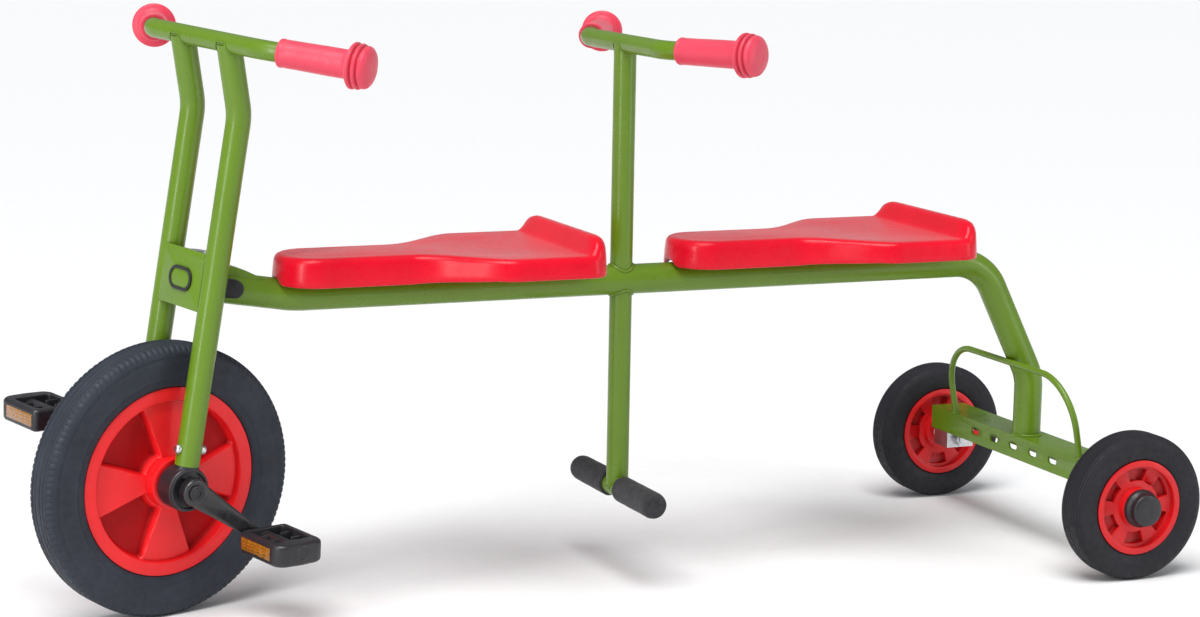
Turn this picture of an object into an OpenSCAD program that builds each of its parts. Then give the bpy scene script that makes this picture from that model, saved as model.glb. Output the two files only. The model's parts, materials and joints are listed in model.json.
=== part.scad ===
// Child's tandem tricycle: two saddles on one backbone tube, direct-drive front wheel.
// +X points forward, +Y to the riders' left, +Z up. The origin is on the ground, under the
// middle of the tricycle. Everything is in millimetres.

/* [Overall] */
// Distance between the front and rear axles
wheelbase = 1148; // [1120:1:1180]
// Distance between the middles of the rear wheels
rear_track = 474; // [450:1:500]

/* [Front wheel] */
// Outer diameter of the front tyre
front_wheel_d = 315; // [308:1:320]
// Width of the front tyre
front_tyre_w = 48; // [44:1:50]
// Outer diameter of the front rim
front_rim_d = 219; // [212:1:224]
// Diameter of the front axle
front_axle_d = 17; // [15:1:18]

/* [Rear wheels] */
// Outer diameter of a rear tyre
rear_wheel_d = 181; // [176:1:186]
// Width of a rear tyre
rear_tyre_w = 43; // [40:1:45]
// Outer diameter of a rear rim
rear_rim_d = 117; // [112:1:122]
// Diameter of a rear axle bolt
rear_axle_d = 12; // [10:1:14]

/* [Steering] */
// Backward lean of the fork legs and the steering axis, in degrees
rake = 9; // [7:0.5:11]
// Angle that the fork is turned to the left at rest, in degrees
steer_rest = 17; // [0:1:20]
// How far the steering axis lies behind the plane of the legs
head_set_back = 6; // [5.5:0.5:8]

/* [Tubes] */
// Diameter of the backbone and the rear leg
backbone_d = 36; // [34:1:36]
// Height of the backbone's centreline above the ground
backbone_z = 360; // [356:1:364]
// Diameter of a fork leg
leg_d = 28; // [26:1:28]
// Distance between the centrelines of the fork legs
leg_spacing = 95; // [94:1:98]
// Diameter of the handlebar post and the footrest post
post_d = 27; // [25:1:28]
// Diameter of both handlebars
bar_d = 22; // [20:1:24]
// Wall thickness of the tubes
wall = 2.5; // [2:0.5:3]

/* [Handlebars] */
// Height of the rear handlebar's centreline
rear_bar_z = 643; // [630:1:650]
// Half the length of the straight middle of a handlebar
bar_half = 110; // [105:1:115]
// Backward sweep of the handlebar ends, in degrees
bar_sweep = 32; // [25:1:36]
// Diameter of the hand grip's barrel
grip_d = 32; // [30:1:34]

/* [Cranks and pedals] */
// Length of a crank between its two axes
crank_length = 112; // [108:1:114]
// Angle of the left crank below the backward direction at rest, in degrees
crank_angle = 36; // [30:1:40]
// Length of a pedal across the rider's foot
pedal_w = 83.5; // [82:0.5:85]

/* [Seats] */
// Length of a saddle
seat_length = 370; // [366:1:374]
// Half the width of a saddle's nose
seat_nose_half = 52; // [50:1:54]
// Half the width of a saddle at its widest
seat_wide_half = 121; // [118:1:124]
// Distance between the front saddle and the rear saddle
seat_pitch = 494; // [490:1:498]

/* [Hidden] */
$fn = 64;
frame_green = "#749632";
seat_red = "#e3192e";
grip_red = "#ec5069";
tyre_dark = "#2e3136";
black = "#26272b";
zinc = "#c9ccd0";
amber = "#d08a1c";
bar_bend_r = 50;
gap = 0.3;
fit = 0.05;

// Front wheel and steering axis
front_r = front_wheel_d / 2;
rear_r = rear_wheel_d / 2;
front_x = (wheelbase + rear_r - front_r) / 2;
rear_x = front_x - wheelbase;
tyre_shoulder_r = 11;
lean = asin(sin(rake) * sin(steer_rest));
tyre_shoulder_y = front_tyre_w / 2 - tyre_shoulder_r;
front_z = (front_r - tyre_shoulder_r) * cos(lean) + tyre_shoulder_y * sin(lean) + tyre_shoulder_r
    + head_set_back * sin(rake) * (1 - cos(steer_rest));
rear_z = rear_r;
bush_face = 22;
bush_d = 22;
rear_rim_half = 18;

// Heights along the fork, measured from the front axle in the raked frame
leg_foot = 26;
cross_bolt_z = 44;
cross_bolt_d = 6;
leg_bend = 422;
bar_reach = 27.4;
bar_rise = 499.4;
bracket_bottom = 200;
bracket_top = 260;
flange_t = 4.5;
web_front = 13;
head_bottom = 206;
head_top = 254;
head_d = 30;
pivot_d = 12;
leg_y = leg_spacing / 2;

// Backbone and rear leg, as points [x, z]
head_joint = 224;
tube_start = 6;
head_start = [front_x - (head_set_back + tube_start) * cos(rake) - head_joint * sin(rake),
    front_z - (head_set_back + tube_start) * sin(rake) + head_joint * cos(rake)];
front_drop = (head_start.y - backbone_z) / tan(rake);
rear_leg_x = rear_x + 4;
leg_slope = 63;
leg_run = 77.5;
rear_bend = [rear_leg_x + leg_run, backbone_z];
leg_knee = [rear_leg_x, backbone_z - leg_run * tan(leg_slope)];
rear_bend_r = 62;
tube_joint = rear_bend.x + rear_bend_r * tan(leg_slope / 2) + 24;

// Rear axle beam
beam_top = 131;
beam_h = 30;
beam_w = 48;
beam_half = 207;
beam_t = 3;
slot_pitch = 47;
block_in = beam_half - 36;

// Post, footrest and rear handlebar
post_x = front_x - 566;
footrest_z = 105.5;
footrest_half = 112;
footrest_d = 25;

// Bearing housings, cranks and pedals, measured from the wheel's middle plane
boss_half = 29.5;
rim_half = 18.7;
housing_in = 31;
housing_d = 51;
bearing_d = 35;
housing_out = 61.5;
bearing_in = housing_out - 13;
crank_in = 62.5;
crank_t = 7;
crank_boss = 13;
spindle_d = 10;
pedal_in = crank_in + crank_t + 1;
pedal_h = 26;
pedal_len = 64;

// Saddles
seat_bottom = backbone_z + backbone_d / 2 - 4;
seat_top = 408;
seat_lip_top = 429;
seat_front_x = front_x - 133.5;
seat_wall = 5;
seat_roof = 26.5;
seat_corner = 26;
boss_bottom = 11;
stud_places = [95, 290];
stud_d = 8;
stud_rise = 22.5;

// ---- Frames of reference ----

// The raked frame of the head tube, which doesn't steer; its Z axis is the steering axis
module head_frame() {
    translate([front_x, 0, front_z]) rotate([0, -rake, 0])
        translate([-head_set_back, 0, 0]) children();
}

// The fork's raked frame at rest: the front axle is at its origin and +Z runs up the legs
module fork_frame() {
    head_frame() rotate([0, 0, steer_rest]) translate([head_set_back, 0, 0]) children();
}

// The front wheel's frame at rest: as the fork's, but upright
module steered() { fork_frame() rotate([0, rake, 0]) children(); }

// Turns a shape drawn round Z so that it lies round Y, with +Z of the drawing to the left
module along_y() { rotate([-90, 0, 0]) children(); }

// Draws a flat path [x, z] upright, in the plane of the riders
module upright() { rotate([90, 0, 0]) children(); }

// Left child stays, right child is its mirror image
module on_side(side) { if (side > 0) children(); else mirror([0, 1, 0]) children(); }

// ---- Bent tubes ----

function heading(a, b) = atan2(b.y - a.y, b.x - a.x);
function wrap(t) = t > 180 ? t - 360 : t < -180 ? t + 360 : t;
function turn_at(p, i) = wrap(heading(p[i], p[i + 1]) - heading(p[i - 1], p[i]));
function is_end(p, i) = i == 0 || i == len(p) - 1;
function trim(p, i, r) = is_end(p, i) ? 0 : r * tan(abs(turn_at(p, i)) / 2);
function toward(a) = [cos(a), sin(a)];

// Cross-section of a tube; a wall of 0 makes it solid
module ring(d, t) {
    difference() {
        circle(d = d);
        if (t > 0) circle(d = d - 2 * t);
    }
}

// A straight length of tube from point a to point b in the XY plane
module straight_tube(a, b, d, t) {
    translate([a.x, a.y, 0]) rotate([0, 0, heading(a, b)]) rotate([0, 90, 0])
        linear_extrude(norm(b - a)) ring(d, t);
}

// The bend of radius r at corner i of path p
module elbow(p, i, r, d, t) {
    turn = turn_at(p, i);
    h = heading(p[i - 1], p[i]);
    side = turn > 0 ? 1 : -1;
    centre = p[i] - trim(p, i, r) * toward(h) + side * r * toward(h + 90);
    translate([centre.x, centre.y, 0]) rotate([0, 0, turn > 0 ? h - 90 : h + 90 + turn])
        rotate_extrude(angle = abs(turn)) translate([r, 0]) ring(d, t);
}

// A tube along path p in the XY plane, bent to radius r at each corner. The bends are a hair
// thicker than the straight lengths, which run a little way into them, so that all is one solid.
module bent_tube(p, r, d, t, over = 0.5, swell = 0.1) {
    for (i = [0 : len(p) - 2]) {
        h = heading(p[i], p[i + 1]);
        start = is_end(p, i) ? 0 : trim(p, i, r) - over;
        stop = is_end(p, i + 1) ? 0 : trim(p, i + 1, r) - over;
        straight_tube(p[i] + start * toward(h), p[i + 1] - stop * toward(h), d, t);
    }
    for (i = [1 : 1 : len(p) - 2]) elbow(p, i, r, d + swell, t > 0 ? t + swell : 0);
}

// ---- Frame ----

module backbone_path(extra) {
    upright() bent_tube([head_start, [head_start.x - front_drop, backbone_z],
        [tube_joint, backbone_z]], 160, backbone_d + 2 * extra, extra > 0 ? 0 : wall, 1, 0.2);
}

module head_cylinder(extra) {
    head_frame() translate([0, 0, head_bottom])
        cylinder(d = head_d + 2 * extra, h = head_top - head_bottom);
}

module backbone_tube() {
    color(frame_green) difference() {
        backbone_path(0);
        head_frame() translate([0, 0, head_bottom - 20])
            cylinder(d = head_d, h = head_top - head_bottom + 40);
    }
}

module rear_leg_tube() {
    color(frame_green) upright() bent_tube([[tube_joint, backbone_z], rear_bend, leg_knee,
        [rear_leg_x, beam_top]], rear_bend_r, backbone_d, wall);
}

module head_tube() {
    color(frame_green) head_frame() translate([0, 0, head_bottom])
        linear_extrude(head_top - head_bottom) ring(head_d, 5);
}

// Wedge between the head tube and the top of the backbone
module head_gusset() {
    wedge = [[-8, 232], [-8, 253], [-30, 251], [-45, 248.5], [-58, 245.5], [-76, 240], [-76, 232]];
    color(frame_green) difference() {
        head_frame() upright() translate([0, 0, -10]) linear_extrude(20) polygon(wedge);
        backbone_path(0.01);
        head_cylinder(0.01);
    }
}

module steering_bush() {
    rotate_extrude() polygon([[pivot_d / 2 + fit, -1.2], [13, -1.2], [13, 0],
        [9.98, 0], [9.98, 14], [pivot_d / 2 + fit, 14]]);
}

module steering_bushes() {
    color(black) head_frame() {
        translate([0, 0, head_bottom]) steering_bush();
        translate([0, 0, head_top]) mirror([0, 0, 1]) steering_bush();
    }
}

// Rubber pads on the backbone that the fork legs meet at full lock
module steering_stops() {
    pad_h = 21;
    pad_y = backbone_d / 2 + 6;
    color(black) difference() {
        head_frame() translate([-40, 0, head_joint + 2]) for (side = [-1, 1])
            on_side(side) translate([0, 8, 0]) along_y() {
                cylinder(d = pad_h, h = pad_y - 8);
                translate([0, -pad_h / 2, 0]) cube([16, pad_h, pad_y - 8]);
            }
        backbone_path(0.01);
    }
}

module rear_bar_cylinder(d) {
    translate([post_x + 1, 0, rear_bar_z]) along_y() cylinder(d = d, h = 80, center = true);
}

module handlebar_post() {
    color(frame_green) difference() {
        translate([post_x, 0, backbone_z]) linear_extrude(rear_bar_z - backbone_z)
            ring(post_d, wall);
        backbone_path(0.01);
        rear_bar_cylinder(bar_d);
    }
}

// The lower end is coped on to the top of the footrest bar
module footrest_post() {
    color(frame_green) difference() {
        translate([post_x, 0, footrest_z + 2]) linear_extrude(backbone_z - footrest_z - 2)
            ring(post_d, wall);
        backbone_path(0.01);
        translate([post_x, 0, footrest_z]) along_y()
            cylinder(d = footrest_d + 0.04, h = 2 * footrest_half, center = true);
    }
}

// One handlebar in the XY plane, with its middle at the origin
module handlebar() {
    tail = 108;
    end = [-tail * sin(bar_sweep), bar_half + tail * cos(bar_sweep)];
    bent_tube([[end.x, end.y], [0, bar_half], [0, -bar_half], [end.x, -end.y]],
        bar_bend_r, bar_d, wall);
}

// A hand grip round Z, with its mouth at the origin and a ringed, domed end
module grip_shape() {
    barrel = grip_d / 2;
    bore = bar_d / 2 + 0.02;
    color(grip_red) rotate_extrude() polygon(concat([[bore, 0], [barrel - 1, 0], [barrel, 1.5],
        [barrel, 80], [barrel + 2, 83], [25.5, 84.5], [27.5, 87], [27, 89.5], [23.8, 90.8],
        [23.8, 91.8], [26.4, 93.2], [26.4, 96], [22.8, 97.4], [22.8, 98.4], [24.6, 99.8]],
        [for (a = [0 : 15 : 90]) [24.6 * cos(a), 101 + 8 * sin(a)]],
        [[0, 84.8], [bore, 84.8]]));
}

// Puts a grip on one end of a handlebar: side 1 is left, -1 is right
module at_bar_end(side) {
    on_side(side) translate([0, bar_half, 0]) rotate([0, 0, bar_sweep])
        translate([0, 23.5, 0]) along_y() children();
}

module rear_bar_frame() { translate([post_x + 1, 0, rear_bar_z]) children(); }

module rear_handlebar() { color(frame_green) rear_bar_frame() handlebar(); }

module rear_grip_left() { rear_bar_frame() at_bar_end(1) grip_shape(); }

module rear_grip_right() { rear_bar_frame() at_bar_end(-1) grip_shape(); }

module footrest_bar() {
    color(frame_green) translate([post_x, 0, footrest_z]) along_y()
        translate([0, 0, -footrest_half]) linear_extrude(2 * footrest_half)
            ring(footrest_d, 2);
}

// Foam sleeve with a closed, rounded end; side 1 is left
module footrest_sleeve(side) {
    length = 98;
    bore = footrest_d / 2 + 0.02;
    bore_end = footrest_half - 16.9;
    color(black) translate([post_x, 0, footrest_z]) on_side(side)
        translate([0, 17, 0]) along_y() rotate_extrude()
            polygon([[bore, 0], [15.5, 0], [16.5, 1], [16.5, length - 5], [15, length - 1.5],
                [11, length], [0, length], [0, bore_end], [bore, bore_end]]);
}

module footrest_sleeve_left() { footrest_sleeve(1); }

module footrest_sleeve_right() { footrest_sleeve(-1); }

// Slot with round ends, along the beam's front flange
module beam_slot() {
    rotate([0, 90, 0]) for (y = [-5, 5]) translate([0, y, 0]) cylinder(d = 10, h = 3 * beam_t);
    translate([0, -5, -5]) cube([3 * beam_t, 10, 10]);
}

// Channel, open below, with five slots in its front flange
module axle_beam() {
    color(frame_green) difference() {
        translate([rear_x - beam_w / 2, -beam_half, beam_top - beam_h])
            cube([beam_w, 2 * beam_half, beam_h]);
        translate([rear_x - beam_w / 2 + beam_t, -beam_half - 1, beam_top - beam_h - 1])
            cube([beam_w - 2 * beam_t, 2 * beam_half + 2, beam_h - beam_t + 1]);
        for (i = [-2 : 2])
            translate([rear_x + beam_w / 2 - 2 * beam_t, i * slot_pitch, beam_top - 14]) beam_slot();
    }
}

// Rod hoop that stands on the beam and leans forward past the front of the rear leg
module guard_hoop() {
    rod = 8;
    half = 151;
    lean_forward = 11;
    rise = 98 / cos(lean_forward);
    color(frame_green) difference() {
        translate([rear_x + beam_w / 2 - rod / 2, 0, beam_top]) rotate([0, lean_forward, 0])
            rotate([0, 0, 90]) upright() bent_tube([[-half, -2], [-half, rise], [half, rise],
                [half, -2]], 64, rod, 0);
        translate([rear_x - 60, -200, beam_top - 20]) cube([120, 400, 20]);
    }
}

// Block in the left end of the beam, with a bore for the axle bolt
module axle_block(side) {
    color(zinc) on_side(side) difference() {
        translate([rear_x - 20, block_in, rear_z - 12])
            cube([40, beam_half - 2 - block_in, beam_top - beam_t - rear_z + 12 - fit]);
        translate([rear_x, block_in - 1, rear_z]) along_y()
            cylinder(d = rear_axle_d + 0.04, h = 60);
    }
}

module axle_block_left() { axle_block(1); }

module axle_block_right() { axle_block(-1); }

// Shoulder bolt: nut on the block's inner face, shoulder on its outer face, head under the hub cap
module rear_axle(side) {
    shoulder = beam_half - 2 + fit;
    head = rear_track / 2 + bush_face + 1;
    color(zinc) on_side(side) translate([rear_x, 0, rear_z]) along_y() {
        translate([0, 0, block_in - 10]) cylinder(d = rear_axle_d, h = head - block_in + 11);
        translate([0, 0, shoulder])
            cylinder(d = 22, h = rear_track / 2 - bush_face - 0.4 - shoulder);
        translate([0, 0, head]) cylinder(d = 20, h = 8, $fn = 6);
        translate([0, 0, block_in - 8 - fit]) cylinder(d = 20, h = 8, $fn = 6);
    }
}

module rear_axle_left() { rear_axle(1); }

module rear_axle_right() { rear_axle(-1); }

// Half the width of a saddle at distance s behind its nose
function ease(t) = t <= 0 ? 0 : t >= 1 ? 1 : t * t * (3 - 2 * t);
function nose_round(s) = s >= 46 ? 1 : sqrt(1 - pow(1 - s / 46, 2));
function tail_cut(s) = let(t = max(0, s - seat_length + seat_corner))
    seat_corner - sqrt(max(0, pow(seat_corner, 2) - t * t));
function seat_half(s) = (seat_nose_half + (seat_wide_half - seat_nose_half)
    * ease((s - 147) / 110)) * nose_round(s) - tail_cut(s);
seat_stations = [0, 2, 6, 12, 20, 30, 46, 100, 147, 162, 177, 192, 207, 222, 237, 257, 300, 342,
    348, 354, 359, 363, 366, 368.5, 370];
function seat_outline(inset) = let(k = seat_length / 370)
    [for (side = [1, -1], i = [0 : len(seat_stations) - 1])
        let(s = k * seat_stations[side > 0 ? i : len(seat_stations) - 1 - i])
            [-max(inset, min(seat_length - inset, s)), side * max(0.5, seat_half(s) - inset)]];

// A saddle shell, open below, with a raised lip behind and a boss for each bolt; the skirt hangs
// beside the backbone in front and is shorter behind
module seat_shell() {
    difference() {
        union() {
            linear_extrude(seat_top - seat_bottom - 6) polygon(seat_outline(0));
            translate([0, 0, seat_top - seat_bottom - 6]) linear_extrude(3)
                polygon(seat_outline(2));
            translate([0, 0, seat_top - seat_bottom - 3]) linear_extrude(3)
                polygon(seat_outline(6));
            lip();
        }
        translate([0, 0, -1]) linear_extrude(seat_roof + 1) polygon(seat_outline(seat_wall));
        translate([0, 200, 0]) upright() linear_extrude(400) polygon([[-150, -1], [-150, 0],
            [-230, 8.5], [-seat_length - 2, 8.5], [-seat_length - 2, -1]]);
    }
    for (s = stud_places) translate([-s, 0, boss_bottom]) difference() {
        cylinder(d = 28, h = seat_roof - boss_bottom);
        cylinder(d = stud_d + 0.04, h = stud_rise - boss_bottom);
    }
}

// The lip across the back of a saddle, a rounded bar that follows the rear edge
module lip() {
    lip_r = 10;
    lip_z = seat_lip_top - seat_bottom - lip_r;
    lip_half = seat_wide_half - 18;
    translate([12 - seat_length, 0, lip_z]) {
        along_y() cylinder(r = lip_r, h = 2 * lip_half, center = true);
        for (side = [-1, 1]) translate([0, side * lip_half, 0]) {
            sphere(r = lip_r);
            translate([0, 0, -14]) cylinder(r = lip_r, h = 14);
        }
        translate([-lip_r, -lip_half, -14]) cube([2 * lip_r, 2 * lip_half, 14]);
    }
}

module front_seat() {
    color(seat_red) difference() {
        translate([seat_front_x, 0, seat_bottom]) seat_shell();
        backbone_path(1);
    }
}

module rear_seat() {
    color(seat_red) difference() {
        translate([seat_front_x - seat_pitch, 0, seat_bottom]) seat_shell();
        backbone_path(1);
    }
}

// Places its children at each of the four saddle studs, at the level of the shell's rim
module at_seat_studs() {
    for (seat = [0, seat_pitch], s = stud_places)
        translate([seat_front_x - seat - s, 0, seat_bottom]) children();
}

// Saddle blocks, coped on to the backbone below
module seat_brackets() {
    color(frame_green) difference() {
        at_seat_studs() translate([-20, -14, -5]) cube([40, 28, boss_bottom + 5 - fit]);
        backbone_path(0.01);
        at_seat_studs() translate([0, 0, -20]) cylinder(d = stud_d + 0.04, h = 40);
    }
}

module seat_studs() {
    color(zinc) at_seat_studs() translate([0, 0, 4.4]) cylinder(d = stud_d, h = stud_rise - 4.6);
}

// ---- Steered fork ----

// Centreline of a fork leg, with a straight start and a bend below the handlebar
module leg_path(extra) {
    upright() bent_tube([[0, leg_foot], [0, leg_bend], [bar_reach, bar_rise]], 70,
        leg_d + 2 * extra, extra > 0 ? 0 : wall);
}

// A leg, with a bore for its cross bolt, cut to sit under the handlebar; side 1 is left
module fork_leg(side) {
    color(frame_green) fork_frame() on_side(side) difference() {
        translate([0, leg_y, 0]) leg_path(0);
        translate([bar_reach, leg_y, bar_rise]) along_y()
            cylinder(d = bar_d, h = 50, center = true);
        translate([bar_reach - 25, leg_y - 20, bar_rise - 3]) cube([50, 40, 30]);
        cross_bolt_bore(40);
    }
}

module fork_leg_left() { fork_leg(1); }

module fork_leg_right() { fork_leg(-1); }

module cross_bolt_bore(length) {
    translate([0, leg_y, cross_bolt_z]) rotate([0, 90, 0])
        cylinder(d = cross_bolt_d + 0.04, h = length, center = true);
}

// Outline of a bracket flange round the steering axis
module flange_outline() {
    difference() {
        union() {
            translate([-head_set_back, 0]) circle(r = 19);
            polygon([[web_front, -leg_y], [web_front, leg_y], [-8, leg_y], [-24, 12],
                [-24, -12], [-8, -leg_y]]);
        }
        translate([-head_set_back, 0]) circle(d = pivot_d + 0.04);
        for (side = [-1, 1]) translate([0, side * leg_y]) circle(d = leg_d + 0.02);
    }
}

// Channel between the legs: an upright web in front, with a flange above and below
module head_bracket() {
    color(frame_green) fork_frame() {
        for (z = [bracket_bottom, bracket_top - flange_t]) translate([0, 0, z])
            linear_extrude(flange_t) flange_outline();
        difference() {
            translate([web_front - 3, -leg_y + 6, bracket_bottom - 1.5])
                cube([3, leg_spacing - 12, bracket_top - bracket_bottom + 5.5]);
            for (side = [-1, 1]) translate([0, side * leg_y, bracket_bottom - 5])
                cylinder(d = leg_d + 0.02, h = 80);
        }
    }
}

// Plain oval plate on the web
module head_badge() {
    mid_z = (bracket_bottom + bracket_top) / 2;
    half_y = 9;
    color(black) fork_frame() translate([web_front, 0, mid_z]) rotate([0, 90, 0])
        linear_extrude(2) union() {
            for (side = [-1, 1]) translate([0, side * half_y]) circle(d = 27);
            square([27, 2 * half_y], center = true);
        }
}

// Pivot bolt, head up
module pivot_bolt() {
    color(zinc) fork_frame() translate([-head_set_back, 0, 0]) {
        translate([0, 0, bracket_bottom - 3.5])
            cylinder(d = pivot_d, h = bracket_top - bracket_bottom + 4.5);
        translate([0, 0, bracket_top]) cylinder(d = 21, h = 3);
    }
}

module pivot_nut() {
    color(zinc) fork_frame() translate([-head_set_back, 0, bracket_bottom - 3 - fit]) difference() {
        cylinder(d = 21, h = 3, $fn = 6);
        translate([0, 0, -1]) cylinder(d = pivot_d + 0.04, h = 6);
    }
}

module front_bar_frame() { fork_frame() translate([bar_reach, 0, bar_rise]) children(); }

module front_handlebar() { color(frame_green) front_bar_frame() handlebar(); }

module front_grip_left() { front_bar_frame() at_bar_end(1) grip_shape(); }

module front_grip_right() { front_bar_frame() at_bar_end(-1) grip_shape(); }

// Round housing with a collar and a plug that stands in the leg; the bearing sits outside
module bearing_housing(side) {
    width = housing_out - housing_in;
    plug_d = leg_d - 2 * wall - 0.04;
    color(black) fork_frame() on_side(side) difference() {
        union() {
            translate([0, housing_in, 0]) along_y() cylinder(d = housing_d, h = width);
            translate([0, leg_y, 0]) cylinder(d = leg_d, h = leg_foot - 0.02);
            translate([0, leg_y, 0]) cylinder(d = plug_d, h = leg_foot + 34);
        }
        translate([0, housing_in - 1, 0]) along_y() cylinder(d = front_axle_d + 5, h = width + 2);
        translate([0, bearing_in - fit, 0]) along_y() cylinder(d = bearing_d + 0.04, h = 30);
        translate([0, housing_out - 3, 0]) along_y() cylinder(d = 42, h = 20);
        cross_bolt_bore(60);
    }
}

module bearing_housing_left() { bearing_housing(1); }

module bearing_housing_right() { bearing_housing(-1); }

module axle_bearing(side) {
    color(zinc) fork_frame() on_side(side) translate([0, bearing_in, 0]) along_y()
        linear_extrude(10) difference() {
            circle(d = bearing_d);
            circle(d = front_axle_d + 2 * fit);
        }
}

module axle_bearing_left() { axle_bearing(1); }

module axle_bearing_right() { axle_bearing(-1); }

// A bolt across each leg foot, with a round head in front and a nut behind
module housing_bolts() {
    head = leg_d / 2 + gap;
    color(zinc) fork_frame() for (side = [-1, 1])
        translate([0, side * leg_y, cross_bolt_z]) rotate([0, 90, 0]) {
            cylinder(d = cross_bolt_d, h = 2 * head + 1, center = true);
            translate([0, 0, head]) cylinder(d = 11, h = 5);
            translate([0, 0, -head - 7]) cylinder(d = 11, h = 7);
        }
}

// ---- Front wheel and cranks ----

// Rim disc round Z: flanged drum, thin disc, four raised wedges and a long boss
module front_rim() {
    rim_r = front_rim_d / 2;
    color(seat_red) steered() along_y() difference() {
        union() {
            rotate_extrude() polygon([[rim_r - 15.5, -rim_half], [rim_r, -rim_half],
                [rim_r, -rim_half + 4.5], [rim_r - 5.5, -rim_half + 4.5],
                [rim_r - 5.5, rim_half - 4.5], [rim_r, rim_half - 4.5],
                [rim_r, rim_half], [rim_r - 15.5, rim_half]]);
            cylinder(d = front_rim_d - 20, h = 6, center = true);
            for (k = [0 : 3]) rotate([0, 0, 90 * k - 20]) rotate_extrude(angle = 40)
                translate([20, -12]) square([rim_r - 34, 24]);
            cylinder(d = 58, h = 2 * boss_half, center = true);
        }
        cylinder(d = front_axle_d + 0.04, h = 100, center = true);
    }
}

// Solid tyre round Z: seat radius, bead radius, outer radius and half widths
module tyre(seat_r, seat_half_w, bead_r, outer_r, half_w, shoulder) {
    edge = [for (a = [0 : 15 : 90]) [outer_r - shoulder + shoulder * sin(a),
        half_w - shoulder + shoulder * cos(a)]];
    side = concat([[seat_r, 0], [seat_r, seat_half_w], [bead_r, seat_half_w],
        [bead_r, half_w - 5], [bead_r + 3, half_w - 3], [bead_r + 9, half_w - 0.8]], edge);
    n = len(side);
    rotate_extrude() polygon(concat(side, [for (i = [n - 1 : -1 : 1]) [side[i].x, -side[i].y]]));
}

module front_tyre() {
    color(tyre_dark) steered() along_y() tyre(front_rim_d / 2 - 5.4, rim_half - 4.6,
        front_rim_d / 2 + 0.2, front_r, front_tyre_w / 2, tyre_shoulder_r);
}

module front_axle() {
    color(zinc) steered() along_y()
        cylinder(d = front_axle_d, h = 2 * (crank_in + crank_boss) - 0.1, center = true);
}

// The frame of a crank: +X along the arm, +Y outward; side 1 is left
module crank_frame(side) {
    steered() rotate([0, side > 0 ? 180 - crank_angle : -crank_angle, 0]) on_side(side) children();
}

// A pedal's own frame: the spindle is the Y axis, and the pedal is level
module pedal_frame(side) {
    steered() translate(-side * crank_length * [cos(crank_angle), 0, sin(crank_angle)])
        on_side(side) children();
}

// Tapered arm with a round boss at the axle and an eye at the pedal
module crank(side) {
    boss_r = 16;
    eye_r = 9;
    color(black) crank_frame(side) translate([0, crank_in, 0]) along_y() difference() {
        union() {
            cylinder(r = boss_r, h = crank_boss);
            translate([crank_length, 0, 0]) cylinder(r = eye_r, h = crank_t);
            linear_extrude(crank_t) polygon([[4, -boss_r + 1], [4, boss_r - 1], [55, 11],
                [crank_length, 8.6], [crank_length, -8.6], [55, -11]]);
        }
        translate([0, 0, -1]) cylinder(d = front_axle_d + 0.04, h = 30);
        translate([crank_length, 0, -1]) cylinder(d = spindle_d + 0.04, h = 30);
    }
}

module crank_left() { crank(1); }

module crank_right() { crank(-1); }

module crank_bolts() {
    color(black) steered() for (side = [-1, 1]) on_side(side)
        translate([0, crank_in + crank_boss, 0]) along_y() cylinder(d = 19, h = 3.5);
}

// Spindle with a collar beside the crank and a retaining head inside the pedal's end
module pedal_spindle(side) {
    head = pedal_in + pedal_w - 9;
    color(zinc) pedal_frame(side) along_y() {
        translate([0, 0, crank_in + 0.5]) cylinder(d = spindle_d, h = head - crank_in);
        translate([0, 0, crank_in + crank_t + fit]) cylinder(d = 16, h = 0.6);
        translate([0, 0, head]) cylinder(d = 15, h = 3);
    }
}

module pedal_spindle_left() { pedal_spindle(1); }

module pedal_spindle_right() { pedal_spindle(-1); }

// Plan of a pedal: square inner end, slightly crowned outer end with round corners
pedal_corner = 15;
function pedal_arc(side) = [for (i = [0 : 6]) let(a = side > 0 ? 15 * i : 90 - 15 * i)
    [side * (pedal_len / 2 - pedal_corner + pedal_corner * cos(a)),
        pedal_w - 1.5 - pedal_corner + pedal_corner * sin(a)]];
function pedal_plan() = concat([[-28, 0], [28, 0], [pedal_len / 2, 4]], pedal_arc(1),
    [[0, pedal_w]], pedal_arc(-1), [[-pedal_len / 2, 4]]);

// Pedal body with two long windows, a spindle barrel, a pocket for each reflector and two
// recesses in its outer end
module pedal(side) {
    color(black) pedal_frame(side) translate([0, pedal_in, 0]) difference() {
        union() {
            difference() {
                translate([0, 0, -pedal_h / 2]) linear_extrude(pedal_h) polygon(pedal_plan());
                translate([-22, 8, -20]) cube([44, 56, 40]);
            }
            translate([0, 5, 0]) along_y() cylinder(d = 20, h = 62);
        }
        translate([0, -1, 0]) along_y() cylinder(d = spindle_d + 2 * fit, h = 90);
        translate([0, pedal_w - 9.3, 0]) along_y() cylinder(d = 17, h = 20);
        for (x = [-1, 1]) {
            translate([x * (pedal_len / 2 - 1) - 2, 5.9, -7.6]) cube([4, 58.2, 15.2]);
            translate([17 * x - 6, pedal_w - 10, -7]) cube([12, 20, 14]);
        }
    }
}

module pedal_left() { pedal(1); }

module pedal_right() { pedal(-1); }

module pedal_reflectors(side) {
    color(amber) pedal_frame(side) translate([0, pedal_in, 0]) for (x = [-1, 1])
        translate([x * (pedal_len / 2 - 1.4) - 1.4, 6, -7.5]) cube([2.8, 58, 15]);
}

module pedal_reflectors_left() { pedal_reflectors(1); }

module pedal_reflectors_right() { pedal_reflectors(-1); }

module pedal_cap(side) {
    color(black) pedal_frame(side) translate([0, pedal_in + pedal_w - 4.5, 0]) along_y()
        cylinder(d = 16.96, h = 4.5);
}

module pedal_cap_left() { pedal_cap(1); }

module pedal_cap_right() { pedal_cap(-1); }

// ---- Rear wheels ----

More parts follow.
